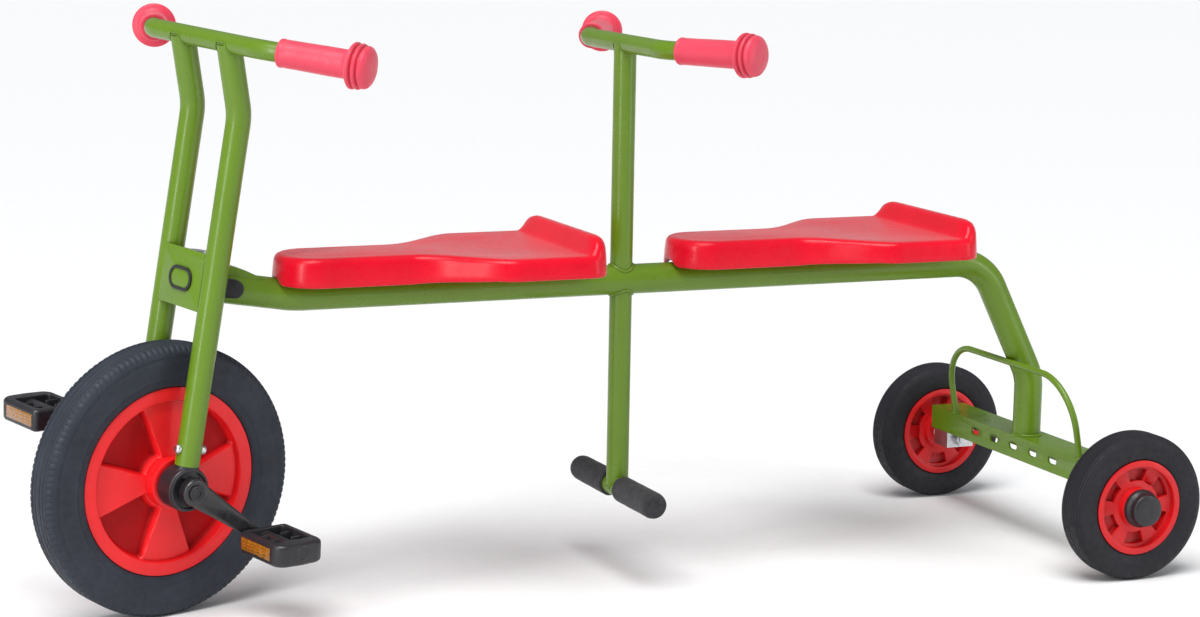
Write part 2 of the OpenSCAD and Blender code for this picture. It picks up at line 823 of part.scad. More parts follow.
// The frame of a rear wheel round Z, with +Z outward; side 1 is left
module rear_wheel_frame(side) {
    on_side(side) translate([rear_x, rear_track / 2, rear_z]) along_y() children();
}

// Rim with a flanged drum, a web with six blind pockets in each face, and a boss for the bushes
module rear_rim(side) {
    rim_r = rear_rim_d / 2;
    color(seat_red) rear_wheel_frame(side) difference() {
        union() {
            rotate_extrude() polygon([[rim_r - 8, -rear_rim_half], [rim_r, -rear_rim_half],
                [rim_r, -rear_rim_half + 4], [rim_r - 4, -rear_rim_half + 4],
                [rim_r - 4, rear_rim_half - 4], [rim_r, rear_rim_half - 4],
                [rim_r, rear_rim_half], [rim_r - 8, rear_rim_half]]);
            cylinder(r = rim_r - 6, h = 20, center = true);
            translate([0, 0, -bush_face + 2]) cylinder(r = 24.5, h = 2 * bush_face - 4);
        }
        for (k = [0 : 5], z = [-21.5, 1.5]) rotate([0, 0, 60 * k + 13]) rotate_extrude(angle = 34)
            translate([32, z]) square([rim_r - 11.5 - 32, 20]);
        cylinder(d = bush_d + 0.04, h = 60, center = true);
    }
}

module rear_rim_left() { rear_rim(1); }

module rear_rim_right() { rear_rim(-1); }

module rear_tyre(side) {
    color(black) rear_wheel_frame(side) tyre(rear_rim_d / 2 - 3.9, rear_rim_half - 4.1,
        rear_rim_d / 2 + 0.2, rear_r, rear_tyre_w / 2, 11);
}

module rear_tyre_left() { rear_tyre(1); }

module rear_tyre_right() { rear_tyre(-1); }

module rear_bushes(side) {
    bore = rear_axle_d / 2 + fit;
    color("#e6e4da") rear_wheel_frame(side) for (end = [0, 1]) mirror([0, 0, end])
        rotate_extrude() polygon([[bore, 2], [bush_d / 2, 2], [bush_d / 2, bush_face - 2],
            [14, bush_face - 2], [14, bush_face], [bore, bush_face]]);
}

module rear_bushes_left() { rear_bushes(1); }

module rear_bushes_right() { rear_bushes(-1); }

// Hollow cap on the boss, over the head of the axle bolt
module hub_cap(side) {
    base = bush_face - 2 + fit;
    color(black) rear_wheel_frame(side) rotate_extrude() polygon([[15, base], [23.5, base],
        [23.2, base + 4], [20.5, base + 8], [20, 36.5], [19.2, 38.2], [17.5, 39], [0, 39],
        [0, 35], [15, 35]]);
}

module hub_cap_left() { hub_cap(1); }

module hub_cap_right() { hub_cap(-1); }
backbone_tube();
rear_leg_tube();
head_tube();
head_gusset();
steering_bushes();
steering_stops();
handlebar_post();
footrest_post();
rear_handlebar();
rear_grip_left();
rear_grip_right();
footrest_bar();
footrest_sleeve_left();
footrest_sleeve_right();
axle_beam();
guard_hoop();
axle_block_left();
axle_block_right();
rear_axle_left();
rear_axle_right();
front_seat();
rear_seat();
seat_brackets();
seat_studs();
fork_leg_left();
fork_leg_right();
head_bracket();
head_badge();
pivot_bolt();
pivot_nut();
front_handlebar();
front_grip_left();
front_grip_right();
bearing_housing_left();
bearing_housing_right();
axle_bearing_left();
axle_bearing_right();
housing_bolts();
front_rim();
front_tyre();
front_axle();
crank_left();
crank_right();
crank_bolts();
pedal_spindle_left();
pedal_spindle_right();
pedal_left();
pedal_right();
pedal_reflectors_left();
pedal_reflectors_right();
pedal_cap_left();
pedal_cap_right();
rear_rim_left();
rear_rim_right();
rear_tyre_left();
rear_tyre_right();
rear_bushes_left();
rear_bushes_right();
hub_cap_left();
hub_cap_right();
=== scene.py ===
"""Looks for the two-rider tricycle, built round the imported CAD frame. Pieces are drawn in millimetres."""
import json
import math

import bmesh
import bpy
from mathutils import Matrix, Vector, noise


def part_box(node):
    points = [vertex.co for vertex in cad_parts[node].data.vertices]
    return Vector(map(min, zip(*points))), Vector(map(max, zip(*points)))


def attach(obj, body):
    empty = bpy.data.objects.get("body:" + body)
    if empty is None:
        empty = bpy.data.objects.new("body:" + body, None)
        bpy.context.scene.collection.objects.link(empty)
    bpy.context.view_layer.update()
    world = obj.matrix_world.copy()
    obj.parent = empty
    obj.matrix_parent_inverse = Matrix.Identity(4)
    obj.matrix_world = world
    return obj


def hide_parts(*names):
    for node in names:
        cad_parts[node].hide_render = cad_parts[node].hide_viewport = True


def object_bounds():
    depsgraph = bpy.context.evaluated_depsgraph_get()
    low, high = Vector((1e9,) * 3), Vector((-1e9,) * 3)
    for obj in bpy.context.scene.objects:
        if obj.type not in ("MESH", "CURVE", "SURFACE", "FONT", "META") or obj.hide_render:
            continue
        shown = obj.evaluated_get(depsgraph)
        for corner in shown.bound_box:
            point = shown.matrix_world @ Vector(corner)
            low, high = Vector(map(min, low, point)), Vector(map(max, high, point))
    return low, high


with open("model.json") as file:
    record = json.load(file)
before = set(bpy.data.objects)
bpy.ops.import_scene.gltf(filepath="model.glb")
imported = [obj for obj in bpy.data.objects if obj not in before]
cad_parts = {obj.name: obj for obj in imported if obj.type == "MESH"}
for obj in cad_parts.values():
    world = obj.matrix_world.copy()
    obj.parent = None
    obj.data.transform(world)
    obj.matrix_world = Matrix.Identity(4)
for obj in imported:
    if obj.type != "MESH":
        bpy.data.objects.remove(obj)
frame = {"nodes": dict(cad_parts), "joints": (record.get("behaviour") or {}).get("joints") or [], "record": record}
CAD_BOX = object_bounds()
NODES = frame["nodes"]
JOINTS = {j["name"]: j for j in frame["joints"]}
TAU = 2 * math.pi
MM = 0.001

# ---- Frames of reference ----


def point_of(joint):
    return Vector(JOINTS[joint]["pos_m"])


def axis_of(joint):
    return Vector(JOINTS[joint]["axis"]).normalized()


def basis(origin, x, y, z):
    """The matrix of a frame with that origin and those axes."""
    m = Matrix((x, y, z)).transposed().to_4x4()
    m.translation = origin
    return m


def middle(node):
    lo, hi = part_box(node)
    return (lo + hi) / 2


UP = Vector((0, 0, 1))
STEER = axis_of("steering")
ACROSS = axis_of("front_wheel_spin")
HUB = point_of("front_wheel_spin")
RAKE = math.atan2(-STEER.x, STEER.z)
FORK = basis(HUB, ACROSS.cross(STEER), ACROSS, STEER)
WHEEL = FORK @ Matrix.Rotation(RAKE, 4, "Y")
ALONG_Y = Matrix.Rotation(-math.pi / 2, 4, "X")
MIRROR = Matrix.Diagonal((1, -1, 1, 1))
SIDES = (("left", 1), ("right", -1))


def mirrored(side):
    return Matrix.Identity(4) if side > 0 else MIRROR


def shift(x, y, z):
    return Matrix.Translation((x * MM, y * MM, z * MM))


def crank_frame(name, side):
    """+X along the crank, +Y outward."""
    along = (point_of(f"{name}_pedal_spin") - HUB).normalized()
    return basis(HUB, along, ACROSS, along.cross(ACROSS)) @ mirrored(side)


def pedal_frame(name, side):
    m = WHEEL.copy()
    m.translation = point_of(f"{name}_pedal_spin")
    return m @ mirrored(side)


def rear_wheel_frame(name, side):
    """+Z outward along the rear axle."""
    return Matrix.Translation(point_of(f"{name}_rear_wheel_spin")) @ mirrored(side) @ ALONG_Y


# ---- Materials ----


class Shader:
    """A node material, built one texture at a time on a Principled shader."""

    def __init__(self, name, rough, **sockets):
        self.mat = bpy.data.materials.new(name)
        self.mat.use_nodes = True
        self.tree = self.mat.node_tree
        self.bsdf = self.tree.nodes["Principled BSDF"]
        self.bsdf.inputs["Roughness"].default_value = rough
        for key, value in sockets.items():
            self.bsdf.inputs[key.replace("_", " ")].default_value = value
        self.coords = self.tree.nodes.new("ShaderNodeTexCoord").outputs["Object"]

    def node(self, kind, **values):
        n = self.tree.nodes.new("ShaderNode" + kind)
        for key, value in values.items():
            if key in n.inputs:
                n.inputs[key].default_value = value
            else:
                setattr(n, key, value)
        return n

    def link(self, a, b):
        self.tree.links.new(a, b)

    def noise(self, scale, detail=4.0, rough=0.55, squeeze=None):
        n = self.node("TexNoise", Scale=scale, Detail=detail, Roughness=rough)
        coords = self.coords
        if squeeze:
            mapping = self.node("Mapping", Scale=squeeze)
            self.link(coords, mapping.inputs["Vector"])
            coords = mapping.outputs["Vector"]
        self.link(coords, n.inputs["Vector"])
        return n.outputs["Fac"]

    def ramp(self, value, low, high, a, b):
        """value mapped from low..high to a..b."""
        n = self.node("MapRange")
        self.link(value, n.inputs["Value"])
        for key, v in (("From Min", low), ("From Max", high), ("To Min", a), ("To Max", b)):
            n.inputs[key].default_value = v
        return n.outputs["Result"]

    def colour(self, value, dark, light, low=0.3, high=0.7):
        n = self.node("ValToRGB")
        n.color_ramp.elements[0].position = low
        n.color_ramp.elements[1].position = high
        n.color_ramp.elements[0].color = (*dark, 1)
        n.color_ramp.elements[1].color = (*light, 1)
        self.link(value, n.inputs["Fac"])
        self.link(n.outputs["Color"], self.bsdf.inputs["Base Color"])
        self.tint = n.outputs["Color"]

    def paint_hollow_shade(self, reach, darkest, low=0.35, high=0.85):
        """Paints shade into the colour in recesses and corners within reach (metres), from ambient occlusion."""
        ao = self.node("AmbientOcclusion", samples=8, Distance=reach)
        self.deepen(self.ramp(ao.outputs["AO"], low, high, darkest, 1))

    def deepen(self, value):
        """Multiplies the colour by value, and dulls the shine with it."""
        n = self.node("HueSaturation")
        self.link(value, n.inputs["Value"])
        self.link(self.tint, n.inputs["Color"])
        self.link(n.outputs["Color"], self.bsdf.inputs["Base Color"])
        self.link(self.ramp(value, 0.4, 1, 0.06, 0.42), self.bsdf.inputs["Specular IOR Level"])
        self.tint = n.outputs["Color"]

    def along(self, origin, axis):
        """Distance from the plane through origin, square to axis."""
        dot = self.node("VectorMath", operation="DOT_PRODUCT")
        self.link(self.coords, dot.inputs[0])
        dot.inputs[1].default_value = axis
        off = self.node("Math", operation="SUBTRACT")
        self.link(dot.outputs["Value"], off.inputs[0])
        off.inputs[1].default_value = Vector(origin).dot(axis)
        size = self.node("Math", operation="ABSOLUTE")
        self.link(off.outputs["Value"], size.inputs[0])
        return size.outputs["Value"]

    def roughness(self, value, smooth, coarse, low=0.35, high=0.65):
        self.link(self.ramp(value, low, high, smooth, coarse), self.bsdf.inputs["Roughness"])

    def bump(self, *layers):
        """Each layer is (height, depth in metres)."""
        last = None
        for height, depth in layers:
            n = self.node("Bump", Distance=depth, Strength=1.0)
            self.link(height, n.inputs["Height"])
            if last:
                self.link(last, n.inputs["Normal"])
            last = n.outputs["Normal"]
        self.link(last, self.bsdf.inputs["Normal"])


def scaled(rgb, k):
    return tuple(min(1.0, c * k) for c in rgb)


def green_paint():
    """Gloss powder coat: slight orange peel, fine dust in the colour, and painted shade in corners and joints."""
    s = Shader("green_paint", 0.34, Coat_Weight=0.07, Coat_Roughness=0.08, Specular_IOR_Level=0.24)
    base = (0.113, 0.212, 0.008)
    s.colour(s.noise(9, 5), scaled(base, 0.93), scaled(base, 1.06))
    # painted shade: the colour darkens in corners and where parts meet, within 20 mm
    s.paint_hollow_shade(0.02, 0.62)
    s.roughness(s.noise(60, 6), 0.26, 0.38)
    s.bump((s.noise(420, 2), 0.00006), (s.noise(1900, 2), 0.00001))
    return s.mat


def saddle_plastic():
    s = Shader("saddle_red", 0.3, Coat_Weight=0.05, Coat_Roughness=0.12, Specular_IOR_Level=0.22,
               Sheen_Weight=0.34, Sheen_Roughness=0.33)
    base = (0.68, 0.002, 0.018)
    s.colour(s.noise(14, 4), scaled(base, 0.93), scaled(base, 1.05))
    s.roughness(s.noise(80, 6), 0.24, 0.36)
    s.bump((s.noise(260, 2), 0.00001), (s.noise(40, 2), 0.00006))
    return s.mat


def wheel_plastic():
    """Red plastic, deeper on the rear rims; painted shade darkens its recesses and the sunken fields of the front
    rim.
    """
    s = Shader("wheel_red", 0.4)
    base = (0.84, 0.009, 0.013)
    s.colour(s.noise(18, 5), scaled(base, 0.90), scaled(base, 1.06))
    # painted shade in recesses and corners within 12 mm
    s.paint_hollow_shade(0.012, 0.45, 0.35, 0.70)
    s.deepen(s.ramp(s.along(HUB, ACROSS), 0.04, 0.06, 1, 0.74))
    # painted shade: the sunken fields near the front rim's middle plane are darkened to half
    s.deepen(s.ramp(s.along(HUB, ACROSS), 0.0045, 0.0105, 0.50, 1))
    s.roughness(s.noise(90, 6), 0.34, 0.48)
    s.bump((s.noise(900, 3), 0.00003), (s.noise(120, 2), 0.00005))
    return s.mat


def grip_rubber():
    s = Shader("grip_coral", 0.45, Sheen_Weight=0.2)
    base = (0.68, 0.036, 0.078)
    s.colour(s.noise(25, 5), scaled(base, 0.93), scaled(base, 1.06))
    s.roughness(s.noise(110, 6), 0.38, 0.54)
    s.bump((s.noise(1500, 2), 0.00004), (s.noise(240, 2), 0.00006))
    return s.mat


def tyre_rubber(name, base):
    """Solid rubber: mould haze, dust and scuffs that lighten it in patches."""
    s = Shader(name, 0.6, Specular_IOR_Level=0.32)
    s.colour(s.noise(22, 8, 0.65), scaled(base, 0.84), scaled(base, 1.22), 0.36, 0.68)
    s.roughness(s.noise(140, 7), 0.48, 0.70)
    s.bump((s.noise(1300, 3), 0.00005), (s.noise(170, 4), 0.00009))
    return s.mat


def black_plastic():
    s = Shader("black_plastic", 0.42)
    base = (0.014, 0.014, 0.017)
    s.colour(s.noise(30, 6), scaled(base, 0.8), scaled(base, 1.4))
    s.roughness(s.noise(130, 6), 0.32, 0.52)
    s.bump((s.noise(1600, 2), 0.00004), (s.noise(200, 3), 0.00006))
    return s.mat


def black_steel():
    s = Shader("black_steel", 0.3, Coat_Weight=0.3, Coat_Roughness=0.12)
    base = (0.012, 0.012, 0.014)
    s.colour(s.noise(35, 6), scaled(base, 0.8), scaled(base, 1.5))
    s.roughness(s.noise(90, 6), 0.22, 0.40)
    s.bump((s.noise(600, 3), 0.00005), (s.noise(120, 2), 0.00006))
    return s.mat


def foam_rubber():
    s = Shader("foam", 0.85, Sheen_Weight=0.1)
    base = (0.015, 0.015, 0.018)
    s.colour(s.noise(60, 8, 0.7), scaled(base, 0.6), scaled(base, 1.9), 0.38, 0.64)
    s.roughness(s.noise(300, 4), 0.74, 0.94)
    s.bump((s.noise(2200, 3, 0.7), 0.00022), (s.noise(500, 4), 0.00020))
    return s.mat


def zinc_plate():
    s = Shader("zinc", 0.35, Metallic=1.0)
    base = (0.62, 0.63, 0.65)
    s.colour(s.noise(90, 6), scaled(base, 0.86), scaled(base, 1.08))
    s.roughness(s.noise(200, 6, squeeze=(1, 1, 6)), 0.26, 0.46)
    s.bump((s.noise(1500, 3, squeeze=(1, 1, 5)), 0.00002), (s.noise(300, 3), 0.00004))
    return s.mat


def amber_reflector():
    """Amber plastic over a field of small prisms."""
    s = Shader("reflector", 0.12, Coat_Weight=0.8, Coat_Roughness=0.04)
    base = (0.34, 0.13, 0.006)
    s.colour(s.noise(260, 3), scaled(base, 0.60), scaled(base, 1.10))
    s.roughness(s.noise(400, 4), 0.10, 0.26)
    waves = []
    for direction in ("X", "Z"):
        w = s.node("TexWave", Scale=90.0, wave_type="BANDS", bands_direction=direction)
        s.link(s.coords, w.inputs["Vector"])
        waves.append((w.outputs["Fac"], 0.0006))
    s.bump(*waves)
    return s.mat


def bush_plastic():
    s = Shader("bush_plastic", 0.45)
    base = (0.78, 0.76, 0.70)
    s.colour(s.noise(50, 5), scaled(base, 0.92), scaled(base, 1.04))
    s.roughness(s.noise(150, 5), 0.38, 0.55)
    s.bump((s.noise(900, 3), 0.00004), (s.noise(150, 2), 0.00005))
    return s.mat


MATERIALS = {
    "green_paint": green_paint(),
    "saddle_red": saddle_plastic(),
    "wheel_red": wheel_plastic(),
    "grip_coral": grip_rubber(),
    "front_rubber": tyre_rubber("front_rubber", (0.022, 0.027, 0.039)),
    "rear_rubber": tyre_rubber("rear_rubber", (0.012, 0.012, 0.016)),
    "black_plastic": black_plastic(),
    "black_steel": black_steel(),
    "foam": foam_rubber(),
    "zinc": zinc_plate(),
    "reflector": amber_reflector(),
    "bush_plastic": bush_plastic(),
}
SLOT_OF = {s["node"]: s["material_slot"] for s in frame["record"]["subparts"]}
BODY_OF = {n: b for b, ns in frame["record"]["behaviour"]["bodies"].items() for n in ns}


def dress_frame():
    """Gives each CAD node the material of its slot."""
    for name, obj in NODES.items():
        obj.data.materials.clear()
        obj.data.materials.append(MATERIALS[SLOT_OF[name]])


# ---- Mesh helpers ----


def as_piece(name, bm, matrix, body, slot, nodes=(), sharp=38):
    """Turns a bmesh, drawn in mm in the frame matrix, into a piece on a body."""
    bmesh.ops.remove_doubles(bm, verts=bm.verts, dist=0.002)
    bmesh.ops.dissolve_degenerate(bm, edges=bm.edges, dist=0.001)
    bmesh.ops.scale(bm, vec=(MM, MM, MM), verts=bm.verts)
    bmesh.ops.transform(bm, matrix=matrix, verts=bm.verts)
    bmesh.ops.recalc_face_normals(bm, faces=bm.faces)
    mesh = bpy.data.meshes.new(name)
    bm.to_mesh(mesh)
    bm.free()
    mesh.shade_smooth()
    mesh.set_sharp_from_angle(angle=math.radians(sharp))
    obj = bpy.data.objects.new(name, mesh)
    bpy.context.scene.collection.objects.link(obj)
    mesh.materials.append(MATERIALS[slot])
    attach(obj, body)
    if nodes:
        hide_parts(*nodes)
    return obj


def quad_grid(bm, rings, close_around=True, close_along=True):
    """Skins rings of points with quads; each ring has the same number of points."""
    verts = [[bm.verts.new(p) for p in ring] for ring in rings]
    n, m = len(rings), len(rings[0])
    for i in range(n if close_around else n - 1):
        for j in range(m if close_along else m - 1):
            a, b = verts[i][j], verts[i][(j + 1) % m]
            c, d = verts[(i + 1) % n][(j + 1) % m], verts[(i + 1) % n][j]
            bm.faces.new((a, b, c, d))
    return verts


def rounded(points, radius, steps=4, closed=True):
    """Rounds each corner of a line of 2-D points; a point may carry its own radius as a third number."""
    out = []
    n = len(points)
    for i, p in enumerate(points):
        here = Vector(p[:2])
        r = p[2] if len(p) > 2 else radius
        if (not closed and i in (0, n - 1)) or r == 0:
            out.append(tuple(here))
            continue
        before, after = Vector(points[i - 1][:2]), Vector(points[(i + 1) % n][:2])
        a, b = before - here, after - here
        cut = min(r, 0.45 * a.length, 0.45 * b.length)
        a, b = here + a.normalized() * cut, here + b.normalized() * cut
        for k in range(steps + 1):
            t = k / steps
            out.append(tuple(a * (1 - t) ** 2 + here * 2 * t * (1 - t) + b * t * t))
    return out


def upright(c, s, h):
    return c, s, h


def polar(bm, profile_at, segments, put=upright):
    """A closed profile [(r, h)] carried round an axis; profile_at(angle) may differ from angle to angle.

    put turns two coordinates across the axis and one along it into a point; the axis is Z unless it says so.
    """
    rings = []
    for k in range(segments):
        a = TAU * k / segments
        rings.append([put(r * math.cos(a), r * math.sin(a), h) for r, h in profile_at(a)])
    quad_grid(bm, rings)


def turned(bm, profile, segments, put=upright):
    """The same closed profile all the way round."""
    polar(bm, lambda a: profile, segments, put)


def lathe(name, profile, matrix, body, slot, nodes=(), radius=0.8, segments=96, sharp=38):
    """A turned piece: the closed profile [(r, z)] round Z, with its corners rounded."""
    bm = bmesh.new()
    turned(bm, rounded(profile, radius), segments)
    return as_piece(name, bm, matrix, body, slot, nodes, sharp)


def tube_rings(path, radius, sides, closed=False):
    """Rings of points round a path; radius may be a function of the place along it, from 0 to 1."""
    rings = []
    n = len(path)
    normal = None
    for i, p in enumerate(path):
        a = path[i - 1] if closed or i > 0 else path[0]
        b = path[(i + 1) % n] if closed or i < n - 1 else path[-1]
        t = (b - a).normalized()
        if normal is None:
            normal = t.orthogonal().normalized()
        normal = (normal - t * normal.dot(t)).normalized()
        other = t.cross(normal)
        r = radius(i / (n - 1)) if callable(radius) else radius
        rings.append([p + (normal * math.cos(TAU * k / sides) + other * math.sin(TAU * k / sides)) * r
                      for k in range(sides)])
    return rings


def bead(bm, path, radius=1.9, ripple=0.15):
    """A weld bead along a closed path, with the small ripples a torch leaves."""
    dense = []
    n = len(path)
    for i, p in enumerate(path):
        q = path[(i + 1) % n]
        steps = max(1, round((q - p).length / 0.8))
        dense += [p.lerp(q, k / steps) for k in range(steps)]
    rings = tube_rings(dense, lambda t: radius + ripple * math.sin(t * len(dense) * 0.42), 10, True)
    quad_grid(bm, rings)


def smooth(t):
    t = max(0.0, min(1.0, t))
    return t * t * (3 - 2 * t)


def softened(node, width, angle=30, segments=2):
    """A copy of a sharp-edged CAD node with its edges rounded; it stands for the node."""
    bm = bmesh.new()
    bm.from_mesh(NODES[node].data)
    bmesh.ops.remove_doubles(bm, verts=bm.verts, dist=2e-6)
    bmesh.ops.dissolve_limit(bm, angle_limit=math.radians(1.0), verts=bm.verts, edges=bm.edges)
    mesh = bpy.data.meshes.new(node + "_soft")
    bm.to_mesh(mesh)
    bm.free()
    obj = bpy.data.objects.new(node + "_soft", mesh)
    bpy.context.scene.collection.objects.link(obj)
    mod = obj.modifiers.new("edges", "BEVEL")
    mod.width = width * MM
    mod.segments = segments
    mod.limit_method = "ANGLE"
    mod.angle_limit = math.radians(angle)
    mod.use_clamp_overlap = True
    graph = bpy.context.evaluated_depsgraph_get()
    done = bpy.data.meshes.new_from_object(obj.evaluated_get(graph))
    obj.modifiers.clear()
    obj.data = done
    done.shade_smooth()
    done.set_sharp_from_angle(angle=math.radians(32))
    done.materials.clear()
    done.materials.append(MATERIALS[SLOT_OF[node]])
    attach(obj, BODY_OF[node])
    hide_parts(node)
    return obj


# ---- Saddles ----

SEAT_LENGTH = 370.0
SEAT_HIGH = 34.0
SEAT_LIP = 21.0
SEAT_ROOF = 26.5
SEAT_CORNER = 26.0
SEAT_STUDS = (95, 290)


def seat_half(s):
    """Half the width of a saddle at distance s behind its nose, ahead of its round rear corners."""
    nose = 1 if s >= 46 else math.sqrt(max(0.0, 1 - (1 - s / 46) ** 2))
    return (52 + 69 * smooth((s - 147) / 110)) * nose


def seat_outline():
    """One side of a saddle's plan, nose to tail, as (s, y), with evenly spaced points."""
    places = [46 * (1 - math.cos(math.pi / 2 * k / 16)) for k in range(17)]
    places += [49 + 3.0 * k for k in range(99)]
    line = [(s, seat_half(s)) for s in places]
    line += arc(SEAT_LENGTH - SEAT_CORNER, 121 - SEAT_CORNER, SEAT_CORNER, 90, 0, 12)
    y = line[-1][1]
    return line + [(SEAT_LENGTH, y * (1 - k / 14)) for k in range(1, 15)]


def seat_rim(s, y):
    """Height of the skirt's lower edge, which clears the backbone at the nose and rises behind."""
    notch = math.sqrt(max(0.0, 19.5 ** 2 - y * y)) - 11 if s < 30 else 0
    return max(0.0, notch, 8.5 * min(1.0, max(0.0, (s - 150) / 80)))


def seat_lip(s, y):
    """Height of the raised bar across the back."""
    across = math.sqrt(max(0.0, 1 - (max(0.0, abs(y) - 84) / 31) ** 2))
    return SEAT_LIP * smooth((s - 342) / 13) * across


def seat_dish(s, y):
    """The sitting surface: a shallow hollow behind, a faint crown along the nose."""
    hollow = -3.0 * math.exp(-((s - 258) / 52) ** 2) * max(0.0, 1 - (y / 98) ** 2)
    crown = 1.0 * math.exp(-((s - 90) / 70) ** 2) * max(0.0, 1 - (y / 40) ** 2)
    return hollow + crown


SEAT_EDGE = [(1.4, 0.3), (0.4, 0.9), (0.0, 2.4), (0.3, 9.0), (0.8, 16.0), (1.3, 22.0), (1.9, 26.4),
             (3.1, 29.8), (5.2, 32.3), (8.2, 33.6), (12.0, 34.0), (16.5, 33.8)]
SEAT_INNER = [(5.6, 0.4), (5.9, 3.0), (6.4, 18.0), (8.0, 24.3), (12.0, 26.1)]


def seat_rings():
    """Closed loops from the inner roof, down inside the skirt, round the rim, up and over the top."""
    half = seat_outline()
    loop = [(s, y) for s, y in half] + [(s, -y) for s, y in reversed(half[1:-1])]
    n = len(loop)
    normals = []
    for i in range(n):
        (s0, y0), (s1, y1) = loop[i - 1], loop[(i + 1) % n]
        d = Vector((s1 - s0, y1 - y0)).normalized()
        normals.append(Vector((d.y, -d.x)))

    def inset(i, k):
        s, y = loop[i]
        q = Vector((s, y)) + normals[i] * k
        return q.x, q.y

    def spine(i, k, f):
        s, y = inset(i, k)
        s1 = min(max(loop[i][0], 60), SEAT_LENGTH - 72)
        return s + (s1 - s) * f, y * (1 - f)

    rings = []
    for f in (1, 0.75, 0.5, 0.25):
        rings.append([(-s, y, SEAT_ROOF) for s, y in (spine(i, 12, f) for i in range(n))])
    for k, z in reversed(SEAT_INNER):
        ring = []
        for i in range(n):
            s, y = inset(i, k)
            ring.append((-s, y, z + seat_rim(*loop[i]) * (1 - z / SEAT_ROOF)))
        rings.append(ring)
    for k, z in SEAT_EDGE:
        ring = []
        for i in range(n):
            s, y = inset(i, k)
            low = seat_rim(*loop[i])
            ring.append((-s, y, low + z * (1 + (seat_lip(s, y) - low) / SEAT_HIGH)))
        rings.append(ring)
    for f in [0.03, 0.06, 0.09, 0.12, 0.16, 0.21, 0.28, 0.36, 0.45, 0.55, 0.66, 0.78, 0.9, 1]:
        ring = []
        for i in range(n):
            s, y = spine(i, 17, f)
            z = SEAT_HIGH - 0.2 + seat_dish(s, y) * smooth(f / 0.4) + seat_lip(s, y)
            ring.append((-s, y, z))
        rings.append(ring)
    return rings


def saddle(node):
    lo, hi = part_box(node)
    place = Matrix.Translation((hi.x, 0, lo.z))
    bm = bmesh.new()
    quad_grid(bm, seat_rings(), close_around=False)
    boss = rounded([(4.1, 11), (14, 11), (14, 24, 2), (17, 26.9), (4.1, 26.9)], 0.6)
    for stud in SEAT_STUDS:
        turned(bm, boss, 40, lambda c, s, h: (c - stud, s, h))
    as_piece(node + "_shell", bm, place, "frame", "saddle_red", (node,), 50)


# ---- Tyres and rims ----


def arc(cx, cz, r, a0, a1, steps):
    """Points on an arc in the (r, z) plane, angles in degrees from the outward direction."""
    return [(cx + r * math.cos(math.radians(a0 + (a1 - a0) * k / steps)),
             cz + r * math.sin(math.radians(a0 + (a1 - a0) * k / steps))) for k in range(steps + 1)]


def both_sides(half):
    """A closed profile from one half of it, listed from the middle of the bore to the tread's middle."""
    return half + [(r, -z) for r, z in reversed(half)]


def front_tyre():
    """Solid tyre: bead lip, two rings on the wall, notched shoulders, ribbed tread."""
    r = 157.5
    wall = rounded([(104.2, 14.0), (109.7, 14.0), (110.2, 19.4), (113.4, 21.4), (119.0, 22.3),
                    (120.0, 22.9), (122.6, 23.1), (123.6, 22.7), (134.0, 23.5), (141.5, 23.9),
                    (143.0, 23.4), (144.6, 23.4), (146.4, 24.0)], 0.9, 2, False)
    shoulder = arc(146.5, 13, 11, 84, 8, 18)
    tread = rounded([(r, 12.0), (r - 1.3, 11.6), (r - 1.3, 10.4), (r, 10.0), (r, 5.6),
                     (r - 1.3, 5.2), (r - 1.3, 4.0), (r, 3.6), (r, 0.001)], 0.35, 1, False)
    half = [(104.2, 0.001)] + wall + shoulder + tread
    first, last = 1 + len(wall) + 4, 1 + len(wall) + 17

    def profile(a):
        cut = 0.95 * smooth((math.sin(a * 132) - 0.05) / 0.5)
        line = []
        for i, (x, z) in enumerate(half):
            k = cut if first <= i <= last else 0
            line.append((x - k * 0.9, z - k * 0.35))
        return both_sides(line)

    bm = bmesh.new()
    polar(bm, profile, 528)
    as_piece("front_tyre_rubber", bm, WHEEL @ ALONG_Y, "front_wheel", "front_rubber", ("front_tyre",))


def rear_tyre(name, side):
    """Solid tyre with round walls and fine grooves round the tread."""
    r = 90.5
    wall = rounded([(54.7, 13.8), (58.8, 13.8), (59.2, 16.9), (62.4, 18.8), (68.2, 20.6),
                    (72.0, 21.1), (79.5, 21.5)], 1.5, 3, False)
    shoulder = []
    for x, z in arc(79.5, 10.5, 11, 84, 6, 40):
        angle = math.degrees(math.atan2(z - 10.5, x - 79.5))
        dip = max(0.0, math.cos(math.radians(angle - 14) * 20)) ** 3 if 8 < angle < 62 else 0
        shoulder.append((x - 0.8 * dip, z - 0.3 * dip))
    tread = rounded([(r, 9.6), (r - 1.1, 9.2), (r - 1.1, 8.4), (r, 8.0), (r, 5.4), (r - 1.1, 5.0),
                     (r - 1.1, 4.2), (r, 3.8), (r, 1.2), (r - 1.1, 0.8), (r - 1.1, 0.001)], 0.3, 2, False)
    line = both_sides([(54.7, 0.001)] + wall + shoulder + tread)
    bm = bmesh.new()
    polar(bm, lambda a: line, 160)
    as_piece(f"rear_tyre_rubber_{name}", bm, rear_wheel_frame(name, side), f"{name}_rear_wheel",
             "rear_rubber", (f"rear_tyre_{name}",))


